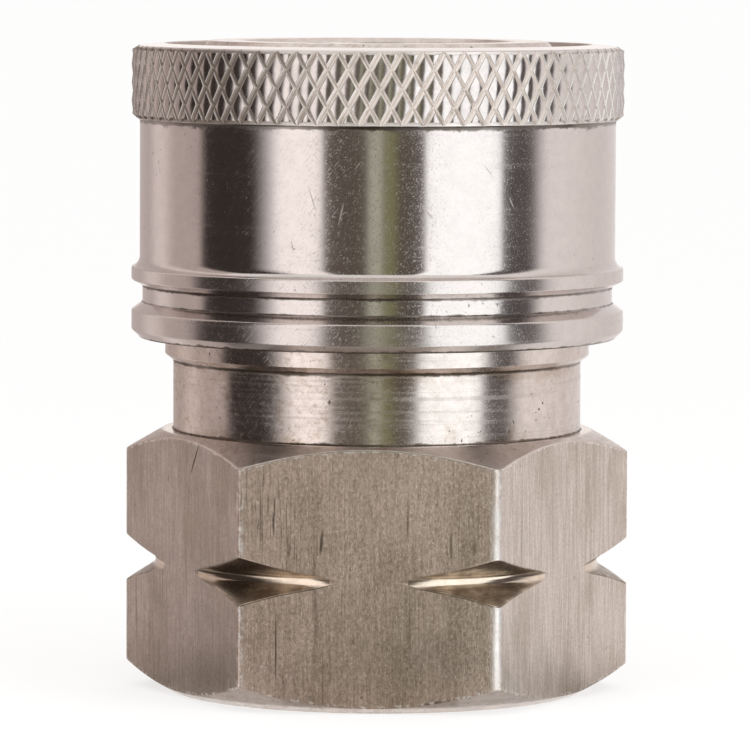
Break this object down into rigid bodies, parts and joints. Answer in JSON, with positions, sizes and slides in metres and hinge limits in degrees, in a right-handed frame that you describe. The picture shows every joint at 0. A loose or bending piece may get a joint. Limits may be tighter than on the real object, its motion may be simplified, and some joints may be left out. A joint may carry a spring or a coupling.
{
  "type": "quick coupling socket",
  "caption": "Stainless ball-lock quick coupling socket: hexagon end with female thread, knurled spring-loaded sleeve, locking balls and seal in the plug bore.",
  "frame": {"origin": "on the axis, at the hexagon's end face", "axes": "+Z along the axis from the threaded end to the plug's mouth, -Y out of the hexagon flat that faces the camera"},
  "size_m": [0.0276, 0.027, 0.0356],
  "materials": {
    "body_steel": "turned, hexagon as drawn",
    "sleeve_steel": "polished, knurled front band",
    "ring_steel": "plain spring steel",
    "spring_steel": "plain spring wire",
    "ball_steel": "polished",
    "seal_rubber": "matt"
  },
  "bodies": {
    "socket": {"socket_body": "body_steel", "retaining_ring": "ring_steel", "seal_ring": "seal_rubber"},
    "spring": {"sleeve_spring": "spring_steel"},
    "sleeve": {"locking_sleeve": "sleeve_steel"},
    "ball_1": {"locking_ball_1": "ball_steel"},
    "ball_2": {"locking_ball_2": "ball_steel"},
    "ball_3": {"locking_ball_3": "ball_steel"},
    "ball_4": {"locking_ball_4": "ball_steel"},
    "ball_5": {"locking_ball_5": "ball_steel"},
    "ball_6": {"locking_ball_6": "ball_steel"},
    "ball_7": {"locking_ball_7": "ball_steel"},
    "ball_8": {"locking_ball_8": "ball_steel"}
  },
  "joints": [
    {"name": "sleeve_spin", "type": "hinge", "parent": "socket", "child": "spring", "pos_m": [0, 0, 0.0202], "axis": [0, 0, 1], "continuous": true},
    {"name": "sleeve_slide", "type": "slide", "parent": "spring", "child": "sleeve", "axis": [0, 0, -1], "range_m": [0, 0.004], "stiffness_N_per_m": 2000, "springref_m": -0.004, "deforming": ["sleeve_spring"]},
    {"name": "ball_1_slide", "type": "slide", "parent": "socket", "child": "ball_1", "axis": [1, 0, 0], "range_m": [0, 0.00115]},
    {"name": "ball_2_slide", "type": "slide", "parent": "socket", "child": "ball_2", "axis": [0.7071, 0.7071, 0], "range_m": [0, 0.00115]},
    {"name": "ball_3_slide", "type": "slide", "parent": "socket", "child": "ball_3", "axis": [0, 1, 0], "range_m": [0, 0.00115]},
    {"name": "ball_4_slide", "type": "slide", "parent": "socket", "child": "ball_4", "axis": [-0.7071, 0.7071, 0], "range_m": [0, 0.00115]},
    {"name": "ball_5_slide", "type": "slide", "parent": "socket", "child": "ball_5", "axis": [-1, 0, 0], "range_m": [0, 0.00115]},
    {"name": "ball_6_slide", "type": "slide", "parent": "socket", "child": "ball_6", "axis": [-0.7071, -0.7071, 0], "range_m": [0, 0.00115]},
    {"name": "ball_7_slide", "type": "slide", "parent": "socket", "child": "ball_7", "axis": [0, -1, 0], "range_m": [0, 0.00115]},
    {"name": "ball_8_slide", "type": "slide", "parent": "socket", "child": "ball_8", "axis": [0.7071, -0.7071, 0], "range_m": [0, 0.00115]}
  ],
  "couplings": [
    {"joint": "ball_1_slide", "follows": "sleeve_slide", "ratio": 0.2875},
    {"joint": "ball_2_slide", "follows": "sleeve_slide", "ratio": 0.2875},
    {"joint": "ball_3_slide", "follows": "sleeve_slide", "ratio": 0.2875},
    {"joint": "ball_4_slide", "follows": "sleeve_slide", "ratio": 0.2875},
    {"joint": "ball_5_slide", "follows": "sleeve_slide", "ratio": 0.2875},
    {"joint": "ball_6_slide", "follows": "sleeve_slide", "ratio": 0.2875},
    {"joint": "ball_7_slide", "follows": "sleeve_slide", "ratio": 0.2875},
    {"joint": "ball_8_slide", "follows": "sleeve_slide", "ratio": 0.2875}
  ]
}
